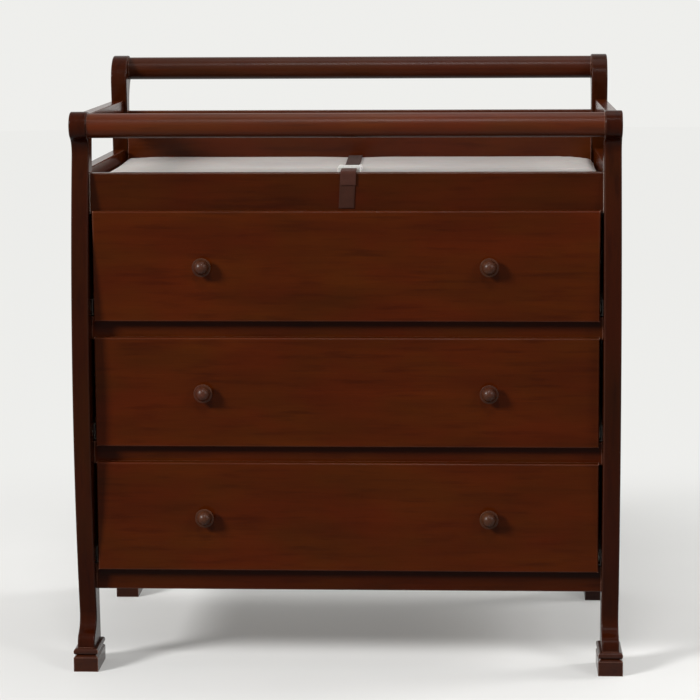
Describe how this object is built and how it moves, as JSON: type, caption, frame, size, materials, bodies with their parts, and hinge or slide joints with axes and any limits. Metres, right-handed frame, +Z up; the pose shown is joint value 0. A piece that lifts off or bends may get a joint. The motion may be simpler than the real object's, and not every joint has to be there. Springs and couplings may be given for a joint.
{
  "type": "changing dresser",
  "caption": "Three-drawer changing dresser with bowed posts, round top rails, a railed tray, a padded mat with a safety strap, and drawers on roller runners",
  "frame": {"origin": "bottom centre of the bounding box, on the floor midway between the feet", "axes": "+X to the right seen from the front, +Y to the back, +Z up"},
  "size_m": [0.907, 0.576, 0.9999],
  "materials": {
    "espresso_lacquer": "satin espresso lacquer over hardwood, fine level grain",
    "knob_lacquer": "satin espresso lacquer on turned wood",
    "inner_board": "matt brown board",
    "drawer_wood": "clear-coated plywood",
    "runner_steel": "cream powder coat",
    "zinc_steel": "zinc plated",
    "white_roller": "moulded nylon",
    "vinyl_pad": "soft off-white vinyl",
    "webbing": "ribbed dark brown webbing",
    "white_plastic": "moulded white plastic"
  },
  "bodies": {
    "frame": {"post_front_left": "espresso_lacquer", "post_front_right": "espresso_lacquer", "post_back_left": "espresso_lacquer", "post_back_right": "espresso_lacquer", "foot_blocks": "espresso_lacquer", "foot_mouldings": "espresso_lacquer", "front_top_rail": "espresso_lacquer", "back_top_rail": "espresso_lacquer", "side_top_rail_left": "espresso_lacquer", "side_top_rail_right": "espresso_lacquer", "side_panel_left": "espresso_lacquer", "side_panel_right": "espresso_lacquer", "tray_apron": "espresso_lacquer", "tray_back_board": "espresso_lacquer", "divider_rails": "espresso_lacquer", "bottom_rail_front": "espresso_lacquer", "bottom_rail_back": "espresso_lacquer", "tray_floor": "inner_board", "back_panel": "inner_board", "runner_battens": "inner_board", "frame_screws": "zinc_steel", "strap_screws": "zinc_steel", "cabinet_runners_1": "runner_steel", "cabinet_runners_2": "runner_steel", "cabinet_runners_3": "runner_steel", "changing_pad": "vinyl_pad", "strap_front": "webbing", "strap_back": "webbing", "buckle_socket": "white_plastic", "buckle_plug": "white_plastic"},
    "drawer_1": {"drawer_1_front": "espresso_lacquer", "drawer_1_side_left": "drawer_wood", "drawer_1_side_right": "drawer_wood", "drawer_1_back": "drawer_wood", "drawer_1_bottom": "drawer_wood", "drawer_1_knobs": "knob_lacquer", "drawer_1_knob_screws": "zinc_steel", "drawer_1_runners": "runner_steel"},
    "drawer_2": {"drawer_2_front": "espresso_lacquer", "drawer_2_side_left": "drawer_wood", "drawer_2_side_right": "drawer_wood", "drawer_2_back": "drawer_wood", "drawer_2_bottom": "drawer_wood", "drawer_2_knobs": "knob_lacquer", "drawer_2_knob_screws": "zinc_steel", "drawer_2_runners": "runner_steel"},
    "drawer_3": {"drawer_3_front": "espresso_lacquer", "drawer_3_side_left": "drawer_wood", "drawer_3_side_right": "drawer_wood", "drawer_3_back": "drawer_wood", "drawer_3_bottom": "drawer_wood", "drawer_3_knobs": "knob_lacquer", "drawer_3_knob_screws": "zinc_steel", "drawer_3_runners": "runner_steel"},
    "cabinet_rollers_1": {"cabinet_rollers_1": "white_roller"},
    "drawer_rollers_1": {"drawer_rollers_1": "white_roller"},
    "cabinet_rollers_2": {"cabinet_rollers_2": "white_roller"},
    "drawer_rollers_2": {"drawer_rollers_2": "white_roller"},
    "cabinet_rollers_3": {"cabinet_rollers_3": "white_roller"},
    "drawer_rollers_3": {"drawer_rollers_3": "white_roller"}
  },
  "joints": [
    {"name": "drawer_1_slide", "type": "slide", "parent": "frame", "child": "drawer_1", "axis": [0, -1, 0], "range_m": [0, 0.3]},
    {"name": "cabinet_roller_1_turn", "type": "hinge", "parent": "frame", "child": "cabinet_rollers_1", "pos_m": [0, -0.225, 0.6036], "axis": [1, 0, 0], "range_deg": [0, 1600]},
    {"name": "drawer_roller_1_turn", "type": "hinge", "parent": "drawer_1", "child": "drawer_rollers_1", "pos_m": [0, 0.185, 0.6033], "axis": [1, 0, 0], "range_deg": [0, 1600]},
    {"name": "drawer_2_slide", "type": "slide", "parent": "frame", "child": "drawer_2", "axis": [0, -1, 0], "range_m": [0, 0.3]},
    {"name": "cabinet_roller_2_turn", "type": "hinge", "parent": "frame", "child": "cabinet_rollers_2", "pos_m": [0, -0.225, 0.3956], "axis": [1, 0, 0], "range_deg": [0, 1600]},
    {"name": "drawer_roller_2_turn", "type": "hinge", "parent": "drawer_2", "child": "drawer_rollers_2", "pos_m": [0, 0.185, 0.3953], "axis": [1, 0, 0], "range_deg": [0, 1600]},
    {"name": "drawer_3_slide", "type": "slide", "parent": "frame", "child": "drawer_3", "axis": [0, -1, 0], "range_m": [0, 0.3]},
    {"name": "cabinet_roller_3_turn", "type": "hinge", "parent": "frame", "child": "cabinet_rollers_3", "pos_m": [0, -0.225, 0.1876], "axis": [1, 0, 0], "range_deg": [0, 1600]},
    {"name": "drawer_roller_3_turn", "type": "hinge", "parent": "drawer_3", "child": "drawer_rollers_3", "pos_m": [0, 0.185, 0.1873], "axis": [1, 0, 0], "range_deg": [0, 1600]}
  ],
  "couplings": [
    {"joint": "cabinet_roller_1_turn", "follows": "drawer_1_slide", "rad_per_m": 92.593},
    {"joint": "drawer_roller_1_turn", "follows": "drawer_1_slide", "rad_per_m": 92.593},
    {"joint": "cabinet_roller_2_turn", "follows": "drawer_2_slide", "rad_per_m": 92.593},
    {"joint": "drawer_roller_2_turn", "follows": "drawer_2_slide", "rad_per_m": 92.593},
    {"joint": "cabinet_roller_3_turn", "follows": "drawer_3_slide", "rad_per_m": 92.593},
    {"joint": "drawer_roller_3_turn", "follows": "drawer_3_slide", "rad_per_m": 92.593}
  ]
}
